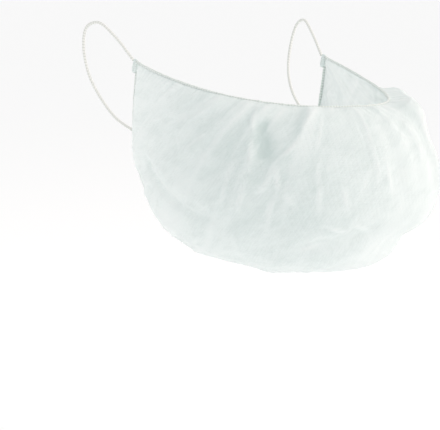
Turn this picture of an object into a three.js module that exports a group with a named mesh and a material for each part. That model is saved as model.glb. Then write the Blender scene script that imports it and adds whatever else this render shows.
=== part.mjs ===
import * as THREE from 'three';

// Beard cover in its worn form, in millimetres. +X is its left side, -Y is its front and +Z is up.
// The origin lies midway between the two ends of the upper edge, where the bonded corners are.

// Sizes of the cloth and the elastic
const wallThickness = 1.2;
const hemDiameter = 2.2;
const loopDiameter = 1.8;
const seamGap = 0.35;
const lowerSeamGap = 0.7;

// Upper edge: half an oval in plan, from the right corner round the front to the left corner
const faceHalfWidth = 72;
const faceDepth = 111;
const lipDrop = 23;
const lipDropPower = 1.5;

// Swell of the bag between its two edges
const swellPeakPower = 1.14;
const swellRoundness = 0.66;
const sagPeakPower = 2.1;

// Fineness of the cloth wall and of the round sections
const stepsAround = 84;
const stepsDown = 22;
const edgeCrowding = 0.1;
const hemSides = 6;
const loopSides = 8;

// Sections of the bag from the right corner (0 degrees) to the middle (90 degrees), mirrored on the left.
// angle: place along the upper edge; lowX, lowY, lowZ: the lower edge there;
// swell: how far the cloth stands out between the edges; sag: how far its lower part hangs
const sections = [
  { angle: 0, lowX: -72, lowY: 2, lowZ: -7, swell: 0, sag: 0 },
  { angle: 10, lowX: -71, lowY: 6, lowZ: -31, swell: 4, sag: 0 },
  { angle: 20, lowX: -68, lowY: 9, lowZ: -53, swell: 10, sag: 0 },
  { angle: 30, lowX: -62, lowY: 7, lowZ: -74, swell: 20, sag: 2 },
  { angle: 42, lowX: -54, lowY: -1, lowZ: -94, swell: 33, sag: 6 },
  { angle: 55, lowX: -43, lowY: -19, lowZ: -109, swell: 46, sag: 11 },
  { angle: 72, lowX: -22, lowY: -44, lowZ: -116, swell: 55, sag: 17 },
  { angle: 90, lowX: 0, lowY: -54, lowZ: -118, swell: 55, sag: 17 },
];

// Main folds, each a ridge (height above zero) or a dent (below zero) from one place on the cloth to another.
// angle is along the upper edge in degrees, depth the share of the way from the upper to the lower edge
const folds = [
  { fromAngle: 50, fromDepth: 0.04, toAngle: 59, toDepth: 0.5, width: 6.5, height: 3.2 },
  { fromAngle: 56, fromDepth: 0.1, toAngle: 60, toDepth: 0.27, width: 7, height: -4.2 },
  { fromAngle: 67, fromDepth: 0.03, toAngle: 62, toDepth: 0.4, width: 6.5, height: 3.2 },
  { fromAngle: 71, fromDepth: 0.05, toAngle: 70, toDepth: 0.22, width: 6, height: 2.4 },
  { fromAngle: 64, fromDepth: 0.4, toAngle: 66, toDepth: 0.56, width: 6, height: 2.2 },
  { fromAngle: 73, fromDepth: 0.27, toAngle: 73, toDepth: 0.47, width: 6, height: 2.2 },
  { fromAngle: 52, fromDepth: 0.3, toAngle: 56, toDepth: 0.56, width: 6.5, height: 2.2 },
  { fromAngle: 36, fromDepth: 0.08, toAngle: 34, toDepth: 0.3, width: 6, height: 2 },
  { fromAngle: 43, fromDepth: 0.1, toAngle: 41, toDepth: 0.36, width: 6, height: 2 },
  { fromAngle: 88, fromDepth: 0.08, toAngle: 88, toDepth: 0.42, width: 7, height: 2.4 },
  { fromAngle: 74, fromDepth: 0.64, toAngle: 86, toDepth: 0.58, width: 6.5, height: -2.6 },
  { fromAngle: 30, fromDepth: 0.68, toAngle: 52, toDepth: 0.62, width: 6.5, height: -2 },
  { fromAngle: 112, fromDepth: 0.08, toAngle: 108, toDepth: 0.42, width: 7, height: 2.8 },
  { fromAngle: 122, fromDepth: 0.22, toAngle: 118, toDepth: 0.5, width: 7, height: -3 },
  { fromAngle: 141, fromDepth: 0.2, toAngle: 132, toDepth: 0.46, width: 7, height: 2.4 },
  { fromAngle: 97, fromDepth: 0.68, toAngle: 132, toDepth: 0.7, width: 15, height: -8 },
  { fromAngle: 118, fromDepth: 0.08, toAngle: 142, toDepth: 0.09, width: 15, height: 8 },
];

// Gathers that run in from the two elastic edges: how many, how high and how far in they are highest
const gathers = [
  { edge: 'upper', count: 14, height: 1.5, reach: 0.06, phase: 0.4 },
  { edge: 'lower', count: 14, height: 1.4, reach: 0.06, phase: 1.3 },
];

// Lengths on the cloth that one degree along the edge and the whole depth stand for, when folds are laid out
const clothPerDegree = 2.1;
const clothDepth = 150;

// Folds fade out within this angle of a corner and this depth of an edge
const cornerFadeAngle = 16;
const edgeFadeDepth = 0.05;

// Bonded corner: a small plate behind the end of the cloth
const tabWidth = 4;
const tabAbove = 1.6;
const tabThickness = 1.8;
const tabRounding = 0.7;

// Ear loop of the right side, from the bonded corner up, back and down again to the lower edge
const loopRoute = [
  { x: -72, y: 4.9, z: 1.6 },
  { x: -75.5, y: 17.5, z: 14.5 },
  { x: -79, y: 30, z: 23 },
  { x: -81, y: 39.5, z: 20 },
  { x: -80, y: 44, z: 8 },
  { x: -77, y: 43, z: -8 },
  { x: -74, y: 36, z: -21 },
  { x: -71.8, y: 23, z: -33 },
];
const loopJoinAngle = 14;
const loopJoinGap = 0.5;
const loopSteps = 40;

const cloth = new THREE.MeshStandardMaterial({ color: 0xf1f5f4, roughness: 0.9 });
const hemCloth = new THREE.MeshStandardMaterial({ color: 0xe6eae7, roughness: 0.9 });
const elastic = new THREE.MeshStandardMaterial({ color: 0xf0efea, roughness: 0.8 });
const bond = new THREE.MeshStandardMaterial({ color: 0xe4e8e6, roughness: 0.6 });

const radians = THREE.MathUtils.degToRad;

// Value of a column at an angle: a Catmull-Rom curve through the rows, mirrored past 90 degrees
function sectionValue(column, angle, mirrorSign) {
  const onRight = angle <= 90;
  const a = onRight ? angle : 180 - angle;
  let i = 0;
  while (i < sections.length - 2 && a > sections[i + 1].angle) i += 1;
  const [first, second] = sections;
  const beforeLast = sections[sections.length - 2];
  const row = (k) => {
    if (k < 0) return { angle: -second.angle, value: 2 * first[column] - second[column] };
    if (k < sections.length) return { angle: sections[k].angle, value: sections[k][column] };
    return { angle: 180 - beforeLast.angle, value: mirrorSign * beforeLast[column] };
  };
  const [p0, p1, p2, p3] = [row(i - 1), row(i), row(i + 1), row(i + 2)];
  const span = p2.angle - p1.angle;
  const t = (a - p1.angle) / span;
  const m1 = ((p2.value - p0.value) / (p2.angle - p0.angle)) * span;
  const m2 = ((p3.value - p1.value) / (p3.angle - p1.angle)) * span;
  const t2 = t * t;
  const t3 = t2 * t;
  const value = (2 * t3 - 3 * t2 + 1) * p1.value + (t3 - 2 * t2 + t) * m1
    + (-2 * t3 + 3 * t2) * p2.value + (t3 - t2) * m2;
  return onRight ? value : mirrorSign * value;
}

// Upper edge at an angle: an oval in plan that drops toward its middle
function upperEdge(angle) {
  const r = radians(angle);
  const drop = lipDrop * (1 - (1 - Math.sin(r)) ** lipDropPower);
  return new THREE.Vector3(-faceHalfWidth * Math.cos(r), -faceDepth * Math.sin(r), -drop);
}

// Lower edge at an angle, read from the sections
function lowerEdge(angle) {
  return new THREE.Vector3(
    sectionValue('lowX', angle, -1),
    sectionValue('lowY', angle, 1),
    sectionValue('lowZ', angle, 1),
  );
}

// Plain form of the bag: the straight way between the edges, swollen outward and let hang
function plainCloth(angle, depth) {
  const r = radians(angle);
  const v = THREE.MathUtils.clamp(depth, 0, 1);
  const outward = new THREE.Vector3(-Math.cos(r) / faceHalfWidth, -Math.sin(r) / faceDepth, 0).normalize();
  const swell = sectionValue('swell', angle, 1) * Math.sin(Math.PI * v ** swellPeakPower) ** swellRoundness;
  const sag = sectionValue('sag', angle, 1) * Math.sin(Math.PI * v ** sagPeakPower);
  const point = upperEdge(angle).lerp(lowerEdge(angle), v);
  point.addScaledVector(outward, swell);
  point.z -= sag;
  return point;
}

// Outward direction of a surface given as a function of angle and depth
function outwardAt(surface, angle, depth) {
  const da = 0.4;
  const dv = 0.006;
  const a0 = Math.max(0, angle - da);
  const a1 = Math.min(180, angle + da);
  const v0 = Math.max(0.004, depth - dv);
  const v1 = Math.min(0.996, depth + dv);
  const along = surface(a1, depth).sub(surface(a0, depth));
  const down = surface(angle, v1).sub(surface(angle, v0));
  return down.cross(along).normalize();
}

// Height of folds and gathers above the plain form
function foldHeight(angle, depth) {
  const cornerFade = Math.min(1, Math.min(angle, 180 - angle) / cornerFadeAngle);
  const edgeFade = Math.min(1, Math.min(depth, 1 - depth) / edgeFadeDepth);
  let height = 0;
  for (const fold of folds) {
    const ax = fold.fromAngle * clothPerDegree;
    const ay = fold.fromDepth * clothDepth;
    const bx = fold.toAngle * clothPerDegree - ax;
    const by = fold.toDepth * clothDepth - ay;
    const px = angle * clothPerDegree - ax;
    const py = depth * clothDepth - ay;
    const t = THREE.MathUtils.clamp((px * bx + py * by) / (bx * bx + by * by), 0, 1);
    const distance = Math.hypot(px - t * bx, py - t * by);
    height += fold.height * Math.exp(-((distance / fold.width) ** 2)) * edgeFade;
  }
  for (const gather of gathers) {
    const inward = gather.edge === 'upper' ? depth : 1 - depth;
    const share = inward / gather.reach;
    const wave = Math.sin((2 * Math.PI * gather.count * angle) / 180 + gather.phase);
    height += gather.height * wave * share * Math.exp(1 - share);
  }
  return height * cornerFade;
}

// Folded form of the bag: the plain form moved outward by its folds
function foldedCloth(angle, depth) {
  const point = plainCloth(angle, depth);
  return point.addScaledVector(outwardAt(plainCloth, angle, depth), foldHeight(angle, depth));
}

// Places along the middle of a hem, close enough together to measure from
function hemPlaces(edge) {
  const places = [];
  for (let i = 0; i <= 720; i += 1) places.push(edge(i / 4));
  return places;
}

// Depth at which the cloth first lies a given distance from the middle of a hem
function depthAwayFromHem(angle, distance, places, fromUpper) {
  const clearance = (point) => Math.min(...places.map((place) => place.distanceTo(point)));
  let near = 0;
  let far = 0.5;
  for (let i = 0; i < 24; i += 1) {
    const middle = (near + far) / 2;
    if (clearance(plainCloth(angle, fromUpper ? middle : 1 - middle)) < distance) near = middle;
    else far = middle;
  }
  return fromUpper ? far : 1 - far;
}

// Bag: a closed wall with an outer side, an inner side and four rims
function pouchGeometry() {
  const columns = stepsAround + 1;
  const rows = stepsDown + 1;
  const count = columns * rows;
  const upperDistance = hemDiameter / 2 + seamGap;
  const lowerDistance = hemDiameter / 2 + lowerSeamGap;
  const upperPlaces = hemPlaces(upperEdge);
  const lowerPlaces = hemPlaces(lowerEdge);
  const positions = new Float32Array(count * 6);
  for (let i = 0; i < columns; i += 1) {
    const angle = (180 * i) / stepsAround;
    const first = depthAwayFromHem(angle, upperDistance, upperPlaces, true);
    const last = depthAwayFromHem(angle, lowerDistance, lowerPlaces, false);
    for (let j = 0; j < rows; j += 1) {
      const s = j / stepsDown;
      const eased = s - edgeCrowding * Math.sin(2 * Math.PI * s);
      const depth = first + (last - first) * eased;
      const middle = foldedCloth(angle, depth);
      const outward = outwardAt(foldedCloth, angle, depth);
      const outer = middle.clone().addScaledVector(outward, wallThickness / 2);
      const inner = middle.clone().addScaledVector(outward, -wallThickness / 2);
      outer.toArray(positions, (i * rows + j) * 3);
      inner.toArray(positions, (count + i * rows + j) * 3);
    }
  }
  const index = [];
  const quad = (a, b, c, d) => index.push(a, b, c, a, c, d);
  for (let i = 0; i < stepsAround; i += 1) {
    for (let j = 0; j < stepsDown; j += 1) {
      const a = i * rows + j;
      const b = a + 1;
      const c = a + rows + 1;
      const d = a + rows;
      quad(a, b, c, d);
      quad(count + a, count + d, count + c, count + b);
    }
    const top = i * rows;
    const bottom = top + stepsDown;
    quad(top, top + rows, count + top + rows, count + top);
    quad(bottom + rows, bottom, count + bottom, count + bottom + rows);
  }
  for (let j = 0; j < stepsDown; j += 1) {
    const right = j;
    const left = stepsAround * rows + j;
    quad(right + 1, right, count + right, count + right + 1);
    quad(left, left + 1, count + left + 1, count + left);
  }
  const geometry = new THREE.BufferGeometry();
  geometry.setAttribute('position', new THREE.BufferAttribute(positions, 3));
  geometry.setIndex(index);
  geometry.computeVertexNormals();
  return geometry;
}

// Round section for hems and loops
function roundSection(diameter, sides) {
  const corners = [];
  for (let k = 0; k < sides; k += 1) {
    const turn = (2 * Math.PI * (k + 0.5)) / sides;
    corners.push(new THREE.Vector2(Math.cos(turn), Math.sin(turn)).multiplyScalar(diameter / 2));
  }
  return new THREE.Shape(corners);
}

// Solid cord of one section along a curve, with closed ends
function cordGeometry(points, diameter, sides, steps) {
  const extrudePath = new THREE.CatmullRomCurve3(points, false, 'centripetal');
  return new THREE.ExtrudeGeometry(roundSection(diameter, sides), { extrudePath, steps, curveSegments: 1 });
}

// Hem: a rolled edge round its elastic, along the upper or lower edge of the bag
function hemGeometry(edge) {
  const points = [];
  for (let i = 0; i <= stepsAround; i += 1) points.push(edge((180 * i) / stepsAround));
  return cordGeometry(points, hemDiameter, hemSides, stepsAround);
}

// Bonded corner: a rounded plate that stands behind the end of the cloth on the right side
function tabGeometry() {
  const top = upperEdge(0);
  const along = lowerEdge(0).sub(top);
  const height = along.length();
  along.normalize();
  const across = new THREE.Vector3(1, 0, 0).cross(along).normalize();
  const shape = new THREE.Shape();
  const x0 = seamGap;
  const x1 = seamGap + tabWidth;
  const y0 = -tabAbove;
  const y1 = height - seamGap;
  const r = tabRounding;
  shape.moveTo(x0 + r, y0);
  shape.lineTo(x1 - r, y0);
  shape.quadraticCurveTo(x1, y0, x1, y0 + r);
  shape.lineTo(x1, y1 - r);
  shape.quadraticCurveTo(x1, y1, x1 - r, y1);
  shape.lineTo(x0 + r, y1);
  shape.quadraticCurveTo(x0, y1, x0, y1 - r);
  shape.lineTo(x0, y0 + r);
  shape.quadraticCurveTo(x0, y0, x0 + r, y0);
  const settings = { depth: tabThickness, bevelEnabled: false, curveSegments: 3 };
  const geometry = new THREE.ExtrudeGeometry(shape, settings);
  geometry.translate(0, 0, -tabThickness / 2);
  const basis = new THREE.Matrix4().makeBasis(across, along, across.clone().cross(along));
  basis.setPosition(top);
  return geometry.applyMatrix4(basis);
}

// Ear loop of the right side: along its route from the corner, ending against the lower hem
function loopGeometry() {
  const points = loopRoute.map((p) => new THREE.Vector3(p.x, p.y, p.z));
  const join = lowerEdge(loopJoinAngle);
  const arrival = points[points.length - 1].clone().sub(join).normalize();
  points.push(join.addScaledVector(arrival, hemDiameter / 2 + loopJoinGap));
  return cordGeometry(points, loopDiameter, loopSides, loopSteps);
}

// Left side copy of a right side form, with its faces turned back outward
function mirrored(geometry) {
  const copy = geometry.clone().applyMatrix4(new THREE.Matrix4().makeScale(-1, 1, 1));
  if (copy.index) {
    const order = copy.index.array;
    for (let k = 0; k < order.length; k += 3) [order[k], order[k + 1]] = [order[k + 1], order[k]];
    return copy;
  }
  const place = copy.attributes.position.array;
  for (let k = 0; k < place.length; k += 9) {
    for (let m = k; m < k + 3; m += 1) [place[m], place[m + 3]] = [place[m + 3], place[m]];
  }
  copy.computeVertexNormals();
  return copy;
}

const beardCover = new THREE.Group();
beardCover.name = 'beard_cover';

function addPiece(name, geometry, material) {
  const mesh = new THREE.Mesh(geometry, material.clone());
  mesh.name = name;
  beardCover.add(mesh);
}

addPiece('pouch', pouchGeometry(), cloth);
addPiece('upper_hem', hemGeometry(upperEdge), hemCloth);
addPiece('lower_hem', hemGeometry(lowerEdge), hemCloth);
addPiece('corner_tab_right', tabGeometry(), bond);
addPiece('corner_tab_left', mirrored(tabGeometry()), bond);
addPiece('ear_loop_right', loopGeometry(), elastic);
addPiece('ear_loop_left', mirrored(loopGeometry()), elastic);

export default beardCover;
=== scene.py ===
import math

import bmesh
import bpy
import numpy as np
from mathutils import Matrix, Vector


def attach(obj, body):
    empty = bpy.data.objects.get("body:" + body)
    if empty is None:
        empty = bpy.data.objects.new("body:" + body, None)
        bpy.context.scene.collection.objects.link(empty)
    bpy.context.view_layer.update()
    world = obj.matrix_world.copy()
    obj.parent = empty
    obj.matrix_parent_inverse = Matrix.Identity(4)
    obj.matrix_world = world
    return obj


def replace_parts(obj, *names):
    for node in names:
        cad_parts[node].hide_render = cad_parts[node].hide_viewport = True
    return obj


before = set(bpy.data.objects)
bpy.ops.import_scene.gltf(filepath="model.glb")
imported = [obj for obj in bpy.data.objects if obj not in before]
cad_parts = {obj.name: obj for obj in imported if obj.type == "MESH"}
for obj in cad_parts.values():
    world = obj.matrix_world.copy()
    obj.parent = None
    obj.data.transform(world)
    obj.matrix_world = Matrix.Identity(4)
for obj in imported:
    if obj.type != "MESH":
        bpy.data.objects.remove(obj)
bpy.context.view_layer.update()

mm = 0.001
print("frame loaded:", ", ".join(sorted(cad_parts)))


# sRGB hex text to linear red, green, blue and alpha: each channel goes through the sRGB curve
def hexToLinear(text):
    values = np.array([int(text[i:i + 2], 16) for i in (1, 3, 5)]) / 255
    linear = np.where(values <= 0.04045, values / 12.92, ((values + 0.055) / 1.055) ** 2.4)
    return (*linear.tolist(), 1.0)


# constants on a node's sockets, by name or number
def setInputs(node, values):
    for name, value in values.items():
        node.inputs[name].default_value = value


# adds one shader node: settings go to its properties, values to its sockets, and links join
# the outputs of other nodes to it
def addNode(tree, kind, settings=None, values=None, links=None):
    node = tree.nodes.new(kind)
    for name, value in (settings or {}).items():
        setattr(node, name, value)
    setInputs(node, values or {})
    for name, (source, output) in (links or {}).items():
        tree.links.new(source.outputs[output], node.inputs[name])
    return node


# the colours of a ramp's stops, set in place: each stop is a position and a hex colour
def setRamp(node, stops):
    ramp = node.color_ramp
    while len(ramp.elements) < len(stops):
        ramp.elements.new(0.5)
    for element, (position, colour) in zip(ramp.elements, stops):
        element.position = position
        element.color = hexToLinear(colour)


# shades every face smooth
def smoothFaces(mesh):
    mesh.polygons.foreach_set("use_smooth", np.ones(len(mesh.polygons), dtype=bool))
    return mesh


# a grid of points (rows, columns, 3) in millimetres becomes a mesh of quads;
# closed joins the last column to the first, and flip turns the faces round
def gridMesh(name, points, uv=None, closed=False, flip=False):
    rows, columns = points.shape[:2]
    index = np.arange(rows * columns).reshape(rows, columns)
    if closed:
        index = np.concatenate([index, index[:, :1]], axis=1)
    corners = [index[:-1, :-1], index[:-1, 1:], index[1:, 1:], index[1:, :-1]]
    quads = np.stack(corners, axis=-1).reshape(-1, 4)
    if flip:
        quads = quads[:, ::-1]
    mesh = bpy.data.meshes.new(name)
    mesh.vertices.add(rows * columns)
    mesh.vertices.foreach_set("co", (points * mm).reshape(-1).astype(np.float32))
    mesh.loops.add(quads.size)
    mesh.loops.foreach_set("vertex_index", quads.reshape(-1).astype(np.int32))
    mesh.polygons.add(len(quads))
    mesh.polygons.foreach_set("loop_start", np.arange(0, quads.size, 4, dtype=np.int32))
    if uv is not None:
        layer = mesh.uv_layers.new(name="cloth")
        places = uv.reshape(-1, 2)[quads.reshape(-1)]
        layer.data.foreach_set("uv", places.reshape(-1).astype(np.float32))
    mesh.update(calc_edges=True)
    mesh.validate()
    return smoothFaces(mesh)


# puts a mesh into the scene with its material
def addObject(name, mesh, material):
    made = bpy.data.objects.new(name, mesh)
    bpy.context.collection.objects.link(made)
    made.data.materials.append(material)
    return made


# camera at the photograph's angle: placed so that the frame's origin falls on its own pixel of the image
viewSettings = {
    "azimuth": -38.0, "elevation": 6.0, "distance": 1300.0, "mmPerPixel": 0.60,
    "imageSize": (440, 430), "originPixel": (235.5, 60.3), "sensor": 36.0,
}


# the target lies as far from the origin as the origin's pixel lies from the middle of the image
def addCamera(s):
    a, e = math.radians(s["azimuth"]), math.radians(s["elevation"])
    back = Vector((math.sin(a) * math.cos(e), -math.cos(a) * math.cos(e), math.sin(e)))
    right = Vector((math.cos(a), math.sin(a), 0))
    up = back.cross(right)
    width, height = s["imageSize"]
    target = right * (width / 2 - s["originPixel"][0]) * s["mmPerPixel"]
    target += up * (s["originPixel"][1] - height / 2) * s["mmPerPixel"]
    lensData = bpy.data.cameras.new("camera")
    lensData.sensor_width = s["sensor"]
    lensData.sensor_fit = "HORIZONTAL"
    lensData.lens = s["sensor"] * s["distance"] / (width * s["mmPerPixel"])
    camera = bpy.data.objects.new("camera", lensData)
    camera.location = (target + back * s["distance"]) * mm
    camera.rotation_mode = "QUATERNION"
    camera.rotation_quaternion = (-back).to_track_quat("-Z", "Y")
    bpy.context.collection.objects.link(camera)
    bpy.context.scene.camera = camera


addCamera(viewSettings)
print("camera set")

# the bag's plan, in millimetres: the same sections that the solids are made from
bag = {
    "faceHalfWidth": 72.0, "faceDepth": 111.0, "lipDrop": 23.0, "lipDropPower": 1.5,
    "swellPeakPower": 1.14, "swellRoundness": 0.66, "sagPeakPower": 2.1,
    "angle": [0, 10, 20, 30, 42, 55, 72, 90],
    "lowX": [-72, -71, -68, -62, -54, -43, -22, 0],
    "lowY": [2, 6, 9, 7, -1, -19, -44, -54],
    "lowZ": [-7, -31, -53, -74, -94, -109, -116, -118],
    "swell": [0, 4, 10, 20, 33, 46, 55, 55],
    "sag": [0, 0, 0, 2, 6, 11, 17, 17],
}


# a section column at any angle: a Catmull-Rom curve through the rows, mirrored past the middle
def sectionValue(column, angle, mirrorSign=1.0):
    a = np.array(bag["angle"], float)
    v = np.array(bag[column], float)
    a = np.concatenate([[-a[1]], a, [180 - a[-2]]])
    v = np.concatenate([[2 * v[0] - v[1]], v, [mirrorSign * v[-2]]])
    near = np.minimum(angle, 180 - angle)
    i = np.clip(np.searchsorted(a, near, side="left") - 1, 1, len(a) - 3)
    span = a[i + 1] - a[i]
    t = (near - a[i]) / span
    m1 = (v[i + 1] - v[i - 1]) / (a[i + 1] - a[i - 1]) * span
    m2 = (v[i + 2] - v[i]) / (a[i + 2] - a[i]) * span
    value = (2 * t**3 - 3 * t**2 + 1) * v[i] + (t**3 - 2 * t**2 + t) * m1
    value += (3 * t**2 - 2 * t**3) * v[i + 1] + (t**3 - t**2) * m2
    return np.where(angle <= 90, value, mirrorSign * value)


# upper edge: half an oval in plan that drops toward its middle
def upperEdge(angle):
    r = np.radians(angle)
    drop = bag["lipDrop"] * (1 - np.maximum(0, 1 - np.sin(r)) ** bag["lipDropPower"])
    parts = [-bag["faceHalfWidth"] * np.cos(r), -bag["faceDepth"] * np.sin(r), -drop]
    return np.stack(parts, axis=-1)


# lower edge: read from the sections, the right side mirrored to the left
def lowerEdge(angle):
    x = sectionValue("lowX", angle, -1.0)
    return np.stack([x, sectionValue("lowY", angle), sectionValue("lowZ", angle)], axis=-1)


# plain bag: the straight way from the upper to the lower edge, swollen outward and let hang
def plainBag(angle, depth):
    r = np.radians(angle)
    parts = [-np.cos(r) / bag["faceHalfWidth"], -np.sin(r) / bag["faceDepth"], 0 * r]
    outward = np.stack(parts, axis=-1)
    outward /= np.linalg.norm(outward, axis=-1, keepdims=True)
    inside = np.clip(depth, 0, 1)
    swell = np.abs(np.sin(np.pi * inside ** bag["swellPeakPower"])) ** bag["swellRoundness"]
    sag = np.sin(np.pi * inside ** bag["sagPeakPower"])
    points = upperEdge(angle) * (1 - inside[..., None]) + lowerEdge(angle) * inside[..., None]
    points = points + outward * (sectionValue("swell", angle) * swell)[..., None]
    points[..., 2] -= sectionValue("sag", angle) * sag
    return points


# outward directions of a grid: the cross product of its two sets of differences
def gridNormals(points):
    across = np.gradient(points, axis=0)
    down = np.gradient(points, axis=1)
    normal = np.cross(down, across)
    return normal / np.maximum(np.linalg.norm(normal, axis=-1, keepdims=True), 1e-9)


# running length along one axis of a grid, in millimetres
def runningLength(points, axis):
    steps = np.linalg.norm(np.diff(points, axis=axis), axis=-1)
    pad = [(0, 0)] * steps.ndim
    pad[axis] = (1, 0)
    return np.cumsum(np.pad(steps, pad), axis=axis)


# tables of chance: how many heights each holds before it repeats, and the cell in which 0 falls
chance = {"lineHeights": 4096, "lineStart": 512, "clothHeights": 128, "clothStart": 40}


# smooth chance along a line: random heights at even steps, joined by cosine curves
def lineNoise(x, step, seed):
    count = chance["lineHeights"]
    heights = np.random.default_rng(seed).uniform(-1, 1, count)
    place = x / step + chance["lineStart"]
    i = np.floor(place).astype(int)
    t = 0.5 - 0.5 * np.cos(np.pi * (place - i))
    return heights[i % count] * (1 - t) + heights[(i + 1) % count] * t


# smooth chance over the cloth: random heights at the corners of cells, joined by cosine curves both ways
def clothNoise(x, y, stepX, stepY, seed):
    count = chance["clothHeights"]
    heights = np.random.default_rng(seed).uniform(-1, 1, (count, count))
    px, py = x / stepX + chance["clothStart"], y / stepY + chance["clothStart"]
    i, j = np.floor(px).astype(int), np.floor(py).astype(int)
    s = 0.5 - 0.5 * np.cos(np.pi * (px - i))
    t = 0.5 - 0.5 * np.cos(np.pi * (py - j))
    thisX, nextX = i % count, (i + 1) % count
    thisY, nextY = j % count, (j + 1) % count
    first = heights[thisX, thisY] * (1 - s) + heights[nextX, thisY] * s
    second = heights[thisX, nextY] * (1 - s) + heights[nextX, nextY] * s
    return first * (1 - t) + second * t


# cloth of the pouch. Folds, patches of painted shade and creases are lines on it: where each starts and
# ends (angle along the edge in degrees, depth down the bag from 0 to 1), its width and its height in
# millimetres. Other lengths are millimetres too
pouchCloth = {
    "columns": 330, "rows": 140, "thickness": 0.3,
    # depths start this far inside the edges and lie closer together near them
    "inset": 0.0006, "crowding": 0.1,
    # lengths of cloth that the lines are measured with
    "mmPerDegree": 2.1, "mmDeep": 150.0,
    # broad ridges and dents with a rounded section, which fade over a share of the depth at both edges
    "folds": [
        (54, 0.12, 59, 0.26, 4.6, -1.9), (51, 0.04, 59, 0.50, 4.5, 1.0),
        (67, 0.03, 62, 0.40, 4.0, 0.6), (36, 0.08, 34, 0.30, 5.5, 1.1),
        (43, 0.10, 41, 0.36, 5.5, 1.1), (88, 0.08, 88, 0.42, 6.0, 1.3),
        (74, 0.64, 86, 0.58, 6.0, -2.6), (30, 0.68, 52, 0.62, 5.5, -2.0),
        (95, 0.10, 96, 0.38, 5.5, 1.3), (104, 0.12, 101, 0.40, 5.5, 1.3),
        (112, 0.08, 108, 0.42, 6.0, 2.6), (122, 0.22, 118, 0.50, 7.0, -3.0),
        (141, 0.20, 132, 0.46, 6.5, 2.2), (97, 0.68, 132, 0.70, 15.0, -8.0),
        (150, 0.20, 144, 0.60, 6.0, 1.8), (118, 0.08, 142, 0.09, 15.0, 8.0),
    ],
    "foldFade": 0.05,
    # patches painted with shade, darker than the rest; the last value is how strong the painted shade
    # is.
    # Creases and gathers calm down there, at this rate and from this start
    "paintedShadePatches": [
        (54.6, 0.12, 58.6, 0.25, 5.0, 0.36), (65, 0.10, 65, 0.13, 4.0, 0.14),
        (50, 0.24, 66, 0.44, 28.0, 0.12),
    ],
    "calmRate": 2.0, "calmStart": 0.4,
    # thin pinched creases with a sharp crest
    "creases": [
        (50, 0.03, 54, 0.18, 1.5, 1.7), (54, 0.18, 58, 0.36, 1.5, 1.8),
        (58, 0.36, 59, 0.54, 1.5, 1.4), (68, 0.02, 66, 0.14, 1.4, 1.6),
        (66, 0.14, 63, 0.28, 1.4, 1.7), (63, 0.28, 61, 0.44, 1.4, 1.4),
        (71, 0.04, 70, 0.22, 1.3, 1.4), (63, 0.30, 64, 0.42, 1.4, 1.5),
        (64, 0.42, 65, 0.58, 1.4, 1.3), (65, 0.40, 69, 0.49, 1.3, 1.3),
        (72, 0.24, 73, 0.50, 1.3, 1.2), (52, 0.28, 56, 0.58, 1.4, 1.2),
        (37, 0.06, 34, 0.22, 1.4, 1.2), (42, 0.24, 39, 0.38, 1.3, 1.1),
        (46, 0.26, 44, 0.40, 1.3, 1.1), (88, 0.26, 89, 0.42, 1.3, 1.2),
        (77, 0.36, 79, 0.47, 1.3, 1.1), (72, 0.66, 77, 0.63, 1.4, 1.2),
        (75, 0.54, 81, 0.58, 1.4, 1.2), (81, 0.53, 88, 0.59, 1.4, 1.2),
        (30, 0.66, 44, 0.64, 1.4, 0.7), (44, 0.64, 53, 0.61, 1.4, 0.7),
        (112, 0.05, 107, 0.36, 1.5, 1.6), (103, 0.05, 101, 0.30, 1.4, 1.4),
        (131, 0.10, 121, 0.44, 1.5, 1.7), (146, 0.16, 136, 0.50, 1.5, 1.5),
        (118, 0.48, 112, 0.66, 1.4, 1.3),
    ],
    # creases that fall by chance; lean is in radians from straight down
    "chanceCreases": {
        "count": 100, "seed": 23, "angle": (16.0, 164.0), "depth": (0.06, 0.88), "lean": 0.45,
        "length": (10.0, 34.0), "width": 1.3, "height": (0.25, 0.8),
    },
    # creases wander off their straight lines: spacing, reach and the two seeds
    "creaseWander": (15.0, 1.7, 61, 62),
    # they come and go along their lines: spacing, middle, swing and seed
    "creaseUneven": (9.0, 0.65, 0.35, 63),
    # how fast a crease tapers at its ends and how much whiter its crest is, for doubled cloth and a
    # painted highlight: drawn ones, then chance ones
    "creaseFinish": [(0.8, 0.44), (1.2, 0.34)],
    # where the taper starts as a share of the length, how round the crest is, how wide the slopes are
    # for each millimetre of width, and the width of the whiter line
    "creaseEnd": 0.06, "crestRound": 0.4, "creaseSlope": 0.8, "crestLine": 1.1,
    # gathers drawn in by the elastic: rows of spacing, height and reach into the cloth
    "gathers": {
        "rows": [(3.4, 0.6, 8.0), (7.0, 1.15, 20.0), (16.0, 1.1, 48.0)],
        # how white the crests are, a painted highlight, and how narrow the white is
        "crestHighlight": 0.7, "sharpness": 4,
        # sideways drift as a share of the spacing, and its length
        "drift": 0.14, "driftStep": 26.0,
        # the reach varies along the edge: middle, swing, and step for each millimetre of spacing
        "reachMiddle": 0.8, "reachSwing": 0.55, "reachStep": 1.7,
        # a gather rises over this share of its spacing, and needs this many reaches of cloth, then
        # this many more to be full
        "rise": 0.3, "leastCloth": 1.2, "moreCloth": 2.0,
        "edgeSeeds": (7, 19), "reachSeed": 40, "driftSeed": 31,
    },
    # streaks over the whole bag: spacing across, spacing down, height
    "streaks": [(9.0, 52.0, 0.35), (17.0, 75.0, 0.6), (6.0, 14.0, 0.12)],
    "streakLean": 0.2, "streakRise": 6.0, "streakSeed": 51,
    # everything dies away toward the bonded corners, in degrees, and at the hems
    "cornerFade": 16.0, "hemFade": 1.5,
}


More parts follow.
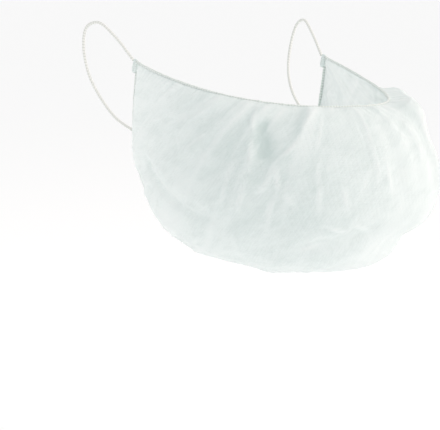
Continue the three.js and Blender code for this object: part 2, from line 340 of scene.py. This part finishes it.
# distance of every place on the cloth from a line, in millimetres, and how far along the line it lies
def lineDistance(angle, depth, row, s):
    fromAngle, fromDepth, toAngle, toDepth = row[:4]
    ax, ay = fromAngle * s["mmPerDegree"], fromDepth * s["mmDeep"]
    bx, by = toAngle * s["mmPerDegree"] - ax, toDepth * s["mmDeep"] - ay
    px, py = angle * s["mmPerDegree"] - ax, depth * s["mmDeep"] - ay
    t = np.clip((px * bx + py * by) / (bx * bx + by * by), 0, 1)
    return np.hypot(px - t * bx, py - t * by), t


# bell curves across a set of lines, each as wide and as high as its row says, added up
def bellCurves(angle, depth, rows, s):
    total = np.zeros_like(angle)
    for row in rows:
        width, height = row[4:]
        distance, _ = lineDistance(angle, depth, row, s)
        total += height * np.exp(-((distance / width) ** 2))
    return total


# creases that fall by chance: short lines, most of them running down the bag
def chanceCreases(s):
    c = s["chanceCreases"]
    pick = np.random.default_rng(c["seed"])
    angle = pick.uniform(*c["angle"], c["count"])
    depth = pick.uniform(*c["depth"], c["count"])
    lean = pick.normal(0, c["lean"], c["count"])
    length = pick.uniform(*c["length"], c["count"])
    height = pick.uniform(*c["height"], c["count"])
    toAngle = angle + np.sin(lean) * length / s["mmPerDegree"]
    toDepth = depth + np.cos(lean) * length / s["mmDeep"]
    width = np.full(c["count"], c["width"])
    return np.stack([angle, depth, toAngle, toDepth, width, height], axis=-1).tolist()


# heights of the folds and creases: a fold is a bell curve across its line, and a crease falls off
# from a sharp crest, with a sine curve along its line. The second result is how much whiter the crests
# are: cloth lying double, as in a pinched crease, and a painted highlight along each crest
def foldHeights(angle, depth, calm, s):
    heights = bellCurves(angle, depth, s["folds"], s)
    doubledAndPaintedLight = np.zeros_like(angle)
    x, y = angle * s["mmPerDegree"], depth * s["mmDeep"]
    step, reach, seedAcross, seedDown = s["creaseWander"]
    bentAngle = angle + reach * clothNoise(x, y, step, step, seedAcross) / s["mmPerDegree"]
    bentDepth = depth + reach * clothNoise(x, y, step, step, seedDown) / s["mmDeep"]
    step, middle, swing, seed = s["creaseUneven"]
    uneven = middle + swing * clothNoise(x, y, step, step, seed)
    end = s["creaseEnd"]
    for rows, (taper, crestHighlight) in zip((s["creases"], chanceCreases(s)), s["creaseFinish"]):
        for row in rows:
            width, height = row[4:]
            distance, t = lineDistance(bentAngle, bentDepth, row, s)
            fade = calm * uneven * np.sin(np.pi * np.clip(t, end, 1 - end)) ** taper
            crest = np.exp(-np.hypot(distance, s["crestRound"]) / (s["creaseSlope"] * width))
            white = np.exp(-((distance / s["crestLine"]) ** 2))
            heights += height * crest * fade
            doubledAndPaintedLight = np.maximum(doubledAndPaintedLight, crestHighlight * height * white * fade)
    return heights * np.clip(np.minimum(depth, 1 - depth) / s["foldFade"], 0, 1), doubledAndPaintedLight


# bag on a grid: angles 0 to 180 degrees by depths that a sine curve draws toward the two edges
def bagGrid(s):
    angle = np.repeat(np.linspace(0, 180, s["columns"])[:, None], s["rows"], axis=1)
    share = np.repeat(np.linspace(0, 1, s["rows"])[None, :], s["columns"], axis=0)
    share = share - s["crowding"] * np.sin(2 * np.pi * share)
    depth = s["inset"] + (1 - 2 * s["inset"]) * share
    return angle, depth, plainBag(angle, depth)


# pouch: the plain bag moved outward by its folds, by gathers that fade from both edges and by streaks
def pouchGrid(s):
    angle, depth, plain = bagGrid(s)
    fromTop = runningLength(plain, 1)
    toBottom = fromTop[:, -1:]
    fromBottom = toBottom - fromTop
    fromHem = np.minimum(fromTop, fromBottom)
    alongCloth = runningLength(plain, 0)
    alongTop = runningLength(plain[:, :1], 0)
    alongBottom = runningLength(plain[:, -1:], 0)
    # painted shade: patches darker than the rest, where creases and gathers also calm down
    paintedShade = bellCurves(angle, depth, s["paintedShadePatches"], s)
    calm = 1 - np.clip(s["calmRate"] * paintedShade - s["calmStart"], 0, 1)
    heights, doubledAndPaintedLight = foldHeights(angle, depth, calm, s)
    g = s["gathers"]
    edges = list(zip((fromTop, fromBottom), (alongTop, alongBottom), g["edgeSeeds"]))
    for k, (spacing, height, reach) in enumerate(g["rows"]):
        drift = g["drift"] * spacing * lineNoise(fromTop, g["driftStep"], g["driftSeed"] + k)
        room = np.clip((toBottom - g["leastCloth"] * reach) / (g["moreCloth"] * reach), 0, 1)
        for fromEdge, along, seed in edges:
            varied = lineNoise(along, g["reachStep"] * spacing, seed + g["reachSeed"] + k)
            reachHere = reach * (g["reachMiddle"] + g["reachSwing"] * varied)
            rise = 1 - np.exp(-fromEdge / (g["rise"] * spacing))
            fade = calm * (rise * np.exp(-fromEdge / reachHere)) * room
            ridge = 1 - 2 * np.abs(lineNoise(along + drift, spacing, seed + k))
            heights += height * fade * ridge
            white = np.clip(ridge, 0, 1) ** g["sharpness"]
            doubledAndPaintedLight = np.maximum(doubledAndPaintedLight, g["crestHighlight"] * fade * white)
    for k, (across, down, height) in enumerate(s["streaks"]):
        leaning = alongCloth + s["streakLean"] * fromTop
        wave = clothNoise(leaning, fromTop, across, down, s["streakSeed"] + k)
        heights += height * wave * (1 - np.exp(-fromHem / s["streakRise"]))
    cornerFade = np.clip(np.minimum(angle, 180 - angle) / s["cornerFade"], 0, 1)
    hemFade = 1 - np.exp(-fromHem / s["hemFade"])
    points = plain + gridNormals(plain) * (heights * cornerFade * hemFade)[..., None]
    uv = np.stack([alongCloth, fromTop], axis=-1) * mm
    # the tone kept at each point: whiter crests from doubled cloth and a painted highlight, less the
    # painted shade
    return points, uv, (doubledAndPaintedLight - paintedShade) * cornerFade


# angles of the corners of a ring, in radians
def ringTurns(sides):
    return np.arange(sides) * 2 * np.pi / sides


# tube: rings of a given radius carried along a path, each ring square to the path;
# the two ends close on a point
def tubeGrid(path, radius, sides):
    tangent = np.gradient(path, axis=0)
    tangent /= np.linalg.norm(tangent, axis=1, keepdims=True)
    slanting = np.array([0.31, 0.22, 0.93])  # a direction that no path here runs along
    side = np.cross(tangent, slanting)
    side /= np.linalg.norm(side, axis=1, keepdims=True)
    other = np.cross(tangent, side)
    turn = ringTurns(sides)[None, :, None]
    ring = side[:, None] * np.cos(turn) + other[:, None] * np.sin(turn)
    grid = path[:, None] + ring * radius[..., None]
    ends = [np.repeat(path[k][None, None], sides, axis=1) for k in (0, -1)]
    along = np.repeat(runningLength(path, 0)[:, None] * mm, sides, axis=1)
    around = np.repeat(ringTurns(sides)[None], len(path), axis=0)
    uv = np.stack([along, around], axis=-1)
    uv = np.concatenate([uv[:1], uv, uv[-1:]], axis=0)
    return np.concatenate([ends[0], grid, ends[1]], axis=0), uv


# points at even steps along a curve given by closely set points
def evenSteps(points, step):
    length = runningLength(points, 0)
    count = max(2, int(round(length[-1] / step)) + 1)
    even = np.linspace(0, length[-1], count)
    return np.stack([np.interp(even, length, points[:, k]) for k in range(3)], axis=-1)


# centripetal Catmull-Rom curve through a few points, the way the solids' loops run
def routeCurve(points, perSpan=40):
    p = np.array(points, float)
    p = np.concatenate([[2 * p[0] - p[1]], p, [2 * p[-1] - p[-2]]])
    knots = np.concatenate([[0], np.cumsum(np.linalg.norm(np.diff(p, axis=0), axis=1) ** 0.5)])
    spans = []
    for i in range(1, len(p) - 2):
        t = np.linspace(knots[i], knots[i + 1], perSpan, endpoint=False)[:, None]
        k0, k1, k2, k3 = knots[i - 1:i + 3]
        a1 = (k1 - t) / (k1 - k0) * p[i - 1] + (t - k0) / (k1 - k0) * p[i]
        a2 = (k2 - t) / (k2 - k1) * p[i] + (t - k1) / (k2 - k1) * p[i + 1]
        a3 = (k3 - t) / (k3 - k2) * p[i + 1] + (t - k2) / (k3 - k2) * p[i + 2]
        b1 = (k2 - t) / (k2 - k0) * a1 + (t - k0) / (k2 - k0) * a2
        b2 = (k3 - t) / (k3 - k1) * a2 + (t - k1) / (k3 - k1) * a3
        spans.append((k2 - t) / (k2 - k1) * b1 + (t - k1) / (k2 - k1) * b2)
    return np.concatenate(spans + [p[-2:-1]])


# merges the points that a closed end brings together and turns every face outward
def weldMesh(mesh):
    work = bmesh.new()
    work.from_mesh(mesh)
    bmesh.ops.remove_doubles(work, verts=work.verts, dist=0.002 * mm)
    bmesh.ops.recalc_face_normals(work, faces=work.faces)
    work.to_mesh(mesh)
    work.free()
    return smoothFaces(mesh)


# a new material with its node tree and its shader
def newMaterial(name):
    material = bpy.data.materials.new(name)
    material.use_nodes = True
    return material, material.node_tree, material.node_tree.nodes["Principled BSDF"]


# lets light into a white cloth and out again nearby: how much of it, and how far in millimetres
def scatterLight(shader, share, reach):
    setInputs(shader, {
        "Subsurface Weight": share, "Subsurface Radius": (reach * mm,) * 3, "Subsurface Scale": 1.0,
    })


# spunbond polypropylene nonwoven: fine white fibres pressed together in rows of small bond points.
# It gives the eye a soft matt white with a faint cloud of fibres and a light dimple pattern
spunbond = {
    # ramp colours, in order: painted shade, plain cloth, and doubled cloth with a painted highlight on
    # crests
    "paintedShade": "#C2D1CE", "plain": "#DFEBE9", "double": "#F6FCFB", "stops": (0.0, 0.2, 0.75),
    # bond points are about 1 mm apart; drawn 2 mm apart so that they show, in rows at 45 degrees
    "bondPitch": 2.0, "bondRows": 45.0, "bondRim": (0.14, 0.34),
    # fibres are about 0.02 mm; drawn as strands about 0.5 mm wide so that they show; lean in radians
    "fibreWidth": 0.5, "fibreStretch": 0.16, "fibreLean": 0.35,
    "cloudSize": 14.0,
    # what doubled cloth with its painted highlight and painted shade, fibres and clouds each add to the
    # tone
    "doubledAndPaintedLightTone": 0.55, "fibreTone": 0.12, "cloudTone": 0.22,
    # relief of the fibres against the bond points, then its strength and its depth in millimetres
    "fibreRelief": 0.5, "relief": 0.22, "reliefDepth": 0.3,
    "roughness": (0.62, 0.85), "specular": 0.25, "sheen": 0.15, "sheenRoughness": 0.5,
    "scatter": (0.7, 2.5),
}


def makeSpunbond(s):
    material, tree, shader = newMaterial("spunbond polypropylene nonwoven")
    uv = addNode(tree, "ShaderNodeUVMap", {"uv_map": "cloth"})
    turned = addNode(tree, "ShaderNodeMapping", values={"Rotation": (0, 0, math.radians(s["bondRows"]))},
                     links={"Vector": (uv, "UV")})
    bonds = addNode(tree, "ShaderNodeTexVoronoi", {"feature": "F1", "voronoi_dimensions": "2D"},
                    {"Scale": 1 / (s["bondPitch"] * mm), "Randomness": 0.0},
                    {"Vector": (turned, "Vector")})
    dimple = addNode(tree, "ShaderNodeMapRange", {"interpolation_type": "SMOOTHSTEP"},
                     {"From Min": s["bondRim"][0], "From Max": s["bondRim"][1]},
                     {"Value": (bonds, "Distance")})
    strand = addNode(tree, "ShaderNodeMapping",
                     values={"Scale": (1.0, s["fibreStretch"], 1.0), "Rotation": (0, 0, s["fibreLean"])},
                     links={"Vector": (uv, "UV")})
    fibres = addNode(tree, "ShaderNodeTexNoise", {"noise_dimensions": "2D"},
                     {"Scale": 1 / (2 * s["fibreWidth"] * mm), "Detail": 3.0, "Roughness": 0.6},
                     {"Vector": (strand, "Vector")})
    cloud = addNode(tree, "ShaderNodeTexNoise", {"noise_dimensions": "2D"},
                    {"Scale": 1 / (s["cloudSize"] * mm), "Detail": 4.0, "Roughness": 0.65},
                    {"Vector": (uv, "UV")})
    # cloth that lies double in a crease lets less light through and looks whiter; the same attribute
    # brings the painted highlight on crests and the painted shade of the patches
    doubledAndPaintedLight = addNode(tree, "ShaderNodeAttribute", {"attribute_name": "doubledAndPaintedLight"})
    tone = addNode(tree, "ShaderNodeMath", {"operation": "MULTIPLY"}, {1: s["doubledAndPaintedLightTone"]},
                   {0: (doubledAndPaintedLight, "Fac")})
    tone = addNode(tree, "ShaderNodeMath", {"operation": "MULTIPLY_ADD"}, {1: s["fibreTone"]},
                   {0: (fibres, "Fac"), 2: (tone, "Value")})
    tone = addNode(tree, "ShaderNodeMath", {"operation": "MULTIPLY_ADD"}, {1: s["cloudTone"]},
                   {0: (cloud, "Fac"), 2: (tone, "Value")})
    colour = addNode(tree, "ShaderNodeValToRGB", links={"Fac": (tone, "Value")})
    setRamp(colour, list(zip(s["stops"], (s["paintedShade"], s["plain"], s["double"]))))
    rough = addNode(tree, "ShaderNodeMapRange",
                    values={"To Min": s["roughness"][0], "To Max": s["roughness"][1]},
                    links={"Value": (dimple, "Result")})
    relief = addNode(tree, "ShaderNodeMath", {"operation": "MULTIPLY_ADD"}, {1: s["fibreRelief"]},
                     {0: (fibres, "Fac"), 2: (dimple, "Result")})
    bump = addNode(tree, "ShaderNodeBump",
                   values={"Strength": s["relief"], "Distance": s["reliefDepth"] * mm},
                   links={"Height": (relief, "Value")})
    tree.links.new(colour.outputs["Color"], shader.inputs["Base Color"])
    tree.links.new(rough.outputs["Result"], shader.inputs["Roughness"])
    tree.links.new(bump.outputs["Normal"], shader.inputs["Normal"])
    setInputs(shader, {
        "Specular IOR Level": s["specular"],
        "Sheen Weight": s["sheen"], "Sheen Roughness": s["sheenRoughness"],
    })
    scatterLight(shader, *s["scatter"])
    return material


# colour and relief that follow one pattern: dark and light stops on its value, and a bump as deep
# in millimetres as the dictionary says
def followPattern(tree, shader, pattern, output, s):
    colour = addNode(tree, "ShaderNodeValToRGB", links={"Fac": (pattern, output)})
    setRamp(colour, list(zip(s["stops"], (s["dark"], s["light"]))))
    bump = addNode(tree, "ShaderNodeBump",
                   values={"Strength": s["relief"], "Distance": s["reliefDepth"] * mm},
                   links={"Height": (pattern, output)})
    tree.links.new(colour.outputs["Color"], shader.inputs["Base Color"])
    tree.links.new(bump.outputs["Normal"], shader.inputs["Normal"])


# rolled nonwoven hem drawn in by its elastic: the same fibres, packed closer and shirred across.
# It gives the eye a narrow, slightly greyer line with fine cross ribs; the grey is partly its own tone
# and partly painted shade along the hem line
rolledHem = {
    "light": "#E8EEEA", "dark": "#CFD8D3", "stops": (0.15, 0.75), "ribPitch": 1.7, "wander": 1.5,
    "relief": 0.35, "reliefDepth": 0.3, "roughness": 0.82, "specular": 0.25, "scatter": (0.5, 2.0),
}


# the ribs' scale comes from their pitch: a straight wave texture turns through 20 radians per unit
def makeRolledHem(s):
    material, tree, shader = newMaterial("rolled nonwoven hem")
    uv = addNode(tree, "ShaderNodeUVMap", {"uv_map": "cloth"})
    scale = 2 * math.pi / (20 * s["ribPitch"] * mm)
    ribs = addNode(tree, "ShaderNodeTexWave", {"wave_type": "BANDS", "bands_direction": "X"},
                   {"Scale": scale, "Distortion": s["wander"], "Detail": 2.0}, {"Vector": (uv, "UV")})
    followPattern(tree, shader, ribs, "Fac", s)
    setInputs(shader, {"Roughness": s["roughness"], "Specular IOR Level": s["specular"]})
    scatterLight(shader, *s["scatter"])
    return material


# covered elastic thread: a rubber core wound with white polyester yarn.
# It gives the eye a plain off-white cord with fine slanting turns of yarn
coveredElastic = {
    "light": "#F0F1ED", "dark": "#DCDFDA", "stops": (0.1, 0.7),
    # turns of yarn are about 0.9 mm apart; their tone repeats every 1.8 mm so that it shows
    "yarnPitch": 1.8, "yarnSlant": 0.15, "wander": 0.6,
    "relief": 0.4, "reliefDepth": 0.2, "roughness": 0.75, "specular": 0.3,
}


# the turns' scale comes from their pitch: a diagonal wave texture turns through 10 radians per unit.
# The slant is how far a turn of yarn moves along the cord, in millimetres for each radian round it
def makeCoveredElastic(s):
    material, tree, shader = newMaterial("yarn covered elastic")
    uv = addNode(tree, "ShaderNodeUVMap", {"uv_map": "cloth"})
    slant = addNode(tree, "ShaderNodeMapping", values={"Scale": (1.0, s["yarnSlant"] * mm, 1.0)},
                    links={"Vector": (uv, "UV")})
    scale = 2 * math.pi / (10 * s["yarnPitch"] * mm)
    turns = addNode(tree, "ShaderNodeTexWave", {"wave_type": "BANDS", "bands_direction": "DIAGONAL"},
                    {"Scale": scale, "Distortion": s["wander"], "Detail": 1.0},
                    {"Vector": (slant, "Vector")})
    followPattern(tree, shader, turns, "Fac", s)
    setInputs(shader, {"Roughness": s["roughness"], "Specular IOR Level": s["specular"]})
    return material


# bonded corner: layers of nonwoven melted together under a ribbed horn.
# It gives the eye a slightly glassy grey white patch with small pressed squares
bondedCorner = {
    "light": "#E6EEEC", "dark": "#D3DDDB", "stops": (0.25, 0.45), "squarePitch": 1.1,
    "relief": 0.5, "reliefDepth": 0.3, "roughness": 0.5, "scatter": (0.4, 2.0),
}


def makeBondedCorner(s):
    material, tree, shader = newMaterial("welded nonwoven corner")
    place = addNode(tree, "ShaderNodeTexCoord")
    squares = addNode(tree, "ShaderNodeTexVoronoi", {"feature": "F1", "distance": "CHEBYCHEV"},
                      {"Scale": 1 / (s["squarePitch"] * mm), "Randomness": 0.0},
                      {"Vector": (place, "Object")})
    followPattern(tree, shader, squares, "Distance", s)
    setInputs(shader, {"Roughness": s["roughness"]})
    scatterLight(shader, *s["scatter"])
    return material


clothMaterial = makeSpunbond(spunbond)
hemMaterial = makeRolledHem(rolledHem)
elasticMaterial = makeCoveredElastic(coveredElastic)
bondMaterial = makeBondedCorner(bondedCorner)
print("materials made")

# ear loops: the route of the right one in millimetres, from the bonded corner up, back and down again
# to the lower hem, which it meets at joinAngle, a joinGap short of the edge
earLoop = {
    "route": [
        (-72, 4.9, 1.6), (-75.5, 17.5, 14.5), (-79, 30, 23), (-81, 39.5, 20), (-80, 44, 8),
        (-77, 43, -8), (-74, 36, -21), (-71.8, 23, -33),
    ],
    "joinAngle": 14.0, "joinGap": 1.2, "diameter": 1.8, "step": 0.3, "sides": 14,
    "yarnTurn": 0.9, "yarnSwell": 0.03,
}


# loop: a tube along the route with a slight swell at each slanting turn of its yarn
def makeEarLoop(name, sign, s):
    join = lowerEdge(np.array([s["joinAngle"]]))[0]
    last = np.array(s["route"][-1], float)
    end = join + (last - join) / np.linalg.norm(last - join) * s["joinGap"]
    path = evenSteps(routeCurve(s["route"] + [tuple(end)]), s["step"])
    path = path * np.array([sign, 1, 1])
    along = runningLength(path, 0)
    yarn = np.sin(2 * np.pi * along[:, None] / s["yarnTurn"] + ringTurns(s["sides"])[None])
    radius = s["diameter"] / 2 * (1 - s["yarnSwell"] + s["yarnSwell"] * yarn)
    grid, uv = tubeGrid(path, radius, s["sides"])
    mesh = weldMesh(gridMesh(name, grid, uv, closed=True))
    loop = addObject(name, mesh, elasticMaterial)
    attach(loop, "root")
    return loop


loopRight = makeEarLoop("elasticLoopRight", 1, earLoop)
loopLeft = makeEarLoop("elasticLoopLeft", -1, earLoop)
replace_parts(loopRight, "ear_loop_right")
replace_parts(loopLeft, "ear_loop_left")
print("ear loops made")

# hems: rolled edges, thin, with small ruffles where the elastic draws the cloth together.
# Both run a little way into the bonded corners: overrun is in degrees past the ends of the edge
hem = {
    "diameter": 1.6, "step": 0.45, "sides": 14, "overrun": 0.6, "edgePoints": 1441,
    # ruffles: spacing, height as a share of the radius, and how far each of two sets twists
    "ruffle": 2.6, "ruffleHeight": 0.16, "closeTwist": 0.5, "wideTwist": 3.0, "wideShare": 0.5,
    "upperSeed": 71, "lowerSeed": 83,
}


# hem: a tube along an edge of the bag whose radius rises and falls with close ruffles and wider ones
def makeHem(name, edge, seed, s):
    angle = np.linspace(-s["overrun"], 180 + s["overrun"], s["edgePoints"])
    path = evenSteps(edge(angle), s["step"])
    along = runningLength(path, 0)[:, None]
    turn = ringTurns(s["sides"])[None]
    ruffle = lineNoise(along + s["closeTwist"] * np.sin(turn), s["ruffle"] / 2, seed)
    wide = lineNoise(along + s["wideTwist"] * np.cos(turn), s["ruffle"], seed + 1)
    ruffle = ruffle + s["wideShare"] * wide
    grid, uv = tubeGrid(path, s["diameter"] / 2 * (1 + s["ruffleHeight"] * ruffle), s["sides"])
    made = addObject(name, weldMesh(gridMesh(name, grid, uv, closed=True)), hemMaterial)
    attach(made, "root")
    return made


hemUpper = makeHem("rolledHemUpper", upperEdge, hem["upperSeed"], hem)
hemLower = makeHem("rolledHemLower", lowerEdge, hem["lowerSeed"], hem)
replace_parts(hemUpper, "upper_hem")
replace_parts(hemLower, "lower_hem")
print("hems made")


# pouch: the folded bag as one sheet, with its whiter crests (doubled cloth and a painted highlight) and
# its painted shade kept at each point, given its wall
def makePouch(s):
    points, uv, doubledAndPaintedLight = pouchGrid(s)
    mesh = gridMesh("nonwovenPouch", points, uv, flip=True)
    layer = mesh.attributes.new("doubledAndPaintedLight", "FLOAT", "POINT")
    layer.data.foreach_set("value", doubledAndPaintedLight.reshape(-1).astype(np.float32))
    pouch = addObject("nonwovenPouch", mesh, clothMaterial)
    wall = pouch.modifiers.new("wall", "SOLIDIFY")
    wall.thickness = s["thickness"] * mm
    wall.offset = 0.0
    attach(pouch, "root")
    return pouch


pouch = makePouch(pouchCloth)
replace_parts(pouch, "pouch")
print("pouch made")

# bonded corners: rounded plates behind the ends of the cloth, with small squares pressed into both
# faces. corner and edge are the powers that square off the outline and the rim
cornerPlate = {
    "width": 4.0, "above": 1.6, "thickness": 1.7, "gap": 0.35, "corner": 0.45, "edge": 8.0,
    "around": 120, "across": 72, "squarePitch": 1.1, "pressed": 0.16,
}


# plate: rings of a rounded rectangle that grow from the middle of one face to the rim and shrink on
# the other face; its half thickness is the root of 1 less a high power of the ring's size, less the
# pressed squares
def makeCorner(name, sign, s):
    top = upperEdge(np.array([0.0]))[0]
    along = lowerEdge(np.array([0.0]))[0] - top
    height = np.linalg.norm(along)
    along /= height
    across = np.cross([1.0, 0, 0], along)
    low, high = -s["above"], height - s["gap"]
    turn = np.linspace(0, 2 * np.pi, s["around"], endpoint=False)[None]
    share = np.linspace(0, 1, s["across"])[:, None]
    ring = 1 - (1 - 2 * np.minimum(share, 1 - share)) ** 2
    wide = np.sign(np.cos(turn)) * np.abs(np.cos(turn)) ** s["corner"] * ring * s["width"] / 2
    tall = np.sign(np.sin(turn)) * np.abs(np.sin(turn)) ** s["corner"] * ring * (high - low) / 2
    squares = (np.cos(np.pi * wide / s["squarePitch"]) * np.cos(np.pi * tall / s["squarePitch"])) ** 2
    half = s["thickness"] / 2 * np.sqrt(1 - ring ** s["edge"]) * (1 - s["pressed"] * squares)
    half = half * np.where(share < 0.5, 1, -1)
    points = top + across * (wide + s["gap"] + s["width"] / 2)[..., None]
    points = points + along * (tall + (low + high) / 2)[..., None]
    points = points + np.array([1.0, 0, 0]) * half[..., None]
    mesh = weldMesh(gridMesh(name, points * np.array([sign, 1, 1]), closed=True))
    made = addObject(name, mesh, bondMaterial)
    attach(made, "root")
    return made


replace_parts(makeCorner("weldedCornerRight", 1, cornerPlate), "corner_tab_right")
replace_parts(makeCorner("weldedCornerLeft", -1, cornerPlate), "corner_tab_left")
print("corners made")

# pale studio floor and soft light from a plain white sky; drop and size in millimetres.
# The sky is as bright as the floor where they meet, and less bright from skyTurn of the way up
studio = {
    "floorDrop": 232.0, "floorSize": 80000.0, "floorColour": "#F8F8F8", "floorGlow": 0.195,
    "floorRoughness": 0.9, "floorSpecular": 0.1,
    "skyColour": "#FFFFFF", "skyAtFloor": 0.94, "skyOverhead": 0.80, "skyTurn": 0.4,
    # lamps, aimed at the bag's middle: place and width in metres, watts and colour
    "aim": (0.0, -0.07, -0.06),
    "lamps": {
        "key": ((0.9, -1.25, 0.55), 1.1, 7.0, "#FFEDE6"),
        "fill": ((0.7, -0.9, 1.3), 1.4, 4.5, "#FFF1EA"),
    },
}


# floor: one flat square of white paint, given a faint glow so that it is as white as the sky
def addFloor(s):
    reach = np.array([-0.5, 0.5]) * s["floorSize"]
    x, y = np.meshgrid(reach, reach, indexing="ij")
    mesh = gridMesh("floor", np.stack([x, y, np.full_like(x, -s["floorDrop"])], axis=-1), flip=True)
    material, _, shader = newMaterial("matt white studio paint")
    colour = hexToLinear(s["floorColour"])
    setInputs(shader, {
        "Base Color": colour, "Roughness": s["floorRoughness"],
        "Specular IOR Level": s["floorSpecular"],
        "Emission Color": colour, "Emission Strength": s["floorGlow"],
    })
    addObject("floor", mesh, material)


# sky: its strength goes smoothly from the floor's brightness to that overhead
def addSky(s):
    world = bpy.data.worlds.new("studio")
    bpy.context.scene.world = world
    world.use_nodes = True
    tree = world.node_tree
    sky = tree.nodes["Background"]
    setInputs(sky, {"Color": hexToLinear(s["skyColour"])})
    place = addNode(tree, "ShaderNodeTexCoord")
    parts = addNode(tree, "ShaderNodeSeparateXYZ", links={"Vector": (place, "Generated")})
    strength = addNode(tree, "ShaderNodeMapRange", {"interpolation_type": "SMOOTHSTEP"},
                       {"From Max": s["skyTurn"], "To Min": s["skyAtFloor"], "To Max": s["skyOverhead"]},
                       {"Value": (parts, "Z")})
    tree.links.new(strength.outputs["Result"], sky.inputs["Strength"])


# lamp: a round soft light that faces its aim
def addLight(name, place, aim, size, power, colour):
    data = bpy.data.lights.new(name, "AREA")
    data.shape = "DISK"
    data.size = size
    data.energy = power
    data.color = hexToLinear(colour)[:3]
    light = bpy.data.objects.new(name, data)
    light.location = place
    light.rotation_mode = "QUATERNION"
    light.rotation_quaternion = (Vector(aim) - Vector(place)).to_track_quat("-Z", "Y")
    bpy.context.collection.objects.link(light)


addFloor(studio)
addSky(studio)
for lamp, (place, size, power, colour) in studio["lamps"].items():
    addLight(lamp, place, studio["aim"], size, power, colour)
bpy.context.scene.view_settings.view_transform = "Standard"
print("studio lit")
